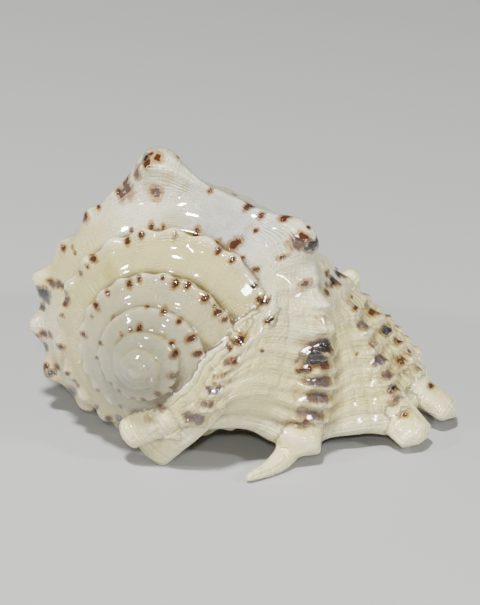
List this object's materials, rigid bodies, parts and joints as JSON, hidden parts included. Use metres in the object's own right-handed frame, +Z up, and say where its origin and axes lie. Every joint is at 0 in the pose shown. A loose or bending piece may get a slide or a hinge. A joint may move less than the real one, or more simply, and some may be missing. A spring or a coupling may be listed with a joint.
{
  "type": "spider conch shell",
  "caption": "Spired spider conch shell with a knobbed shoulder, a flared lip that ends in folded digits, and a bent open siphonal canal.",
  "frame": {"origin": "middle of the bounding box at its bottom, on the surface the shell lies on", "axes": "+Y runs along the spiral axis from the spire to the siphonal canal, +X points to the lip's side, +Z points up to the back of the body whorl"},
  "size_m": [0.0672, 0.0886, 0.0465],
  "materials": {
    "ivory_shell": null
  },
  "bodies": {
    "root": {"shell": "ivory_shell"}
  },
  "joints": []
}
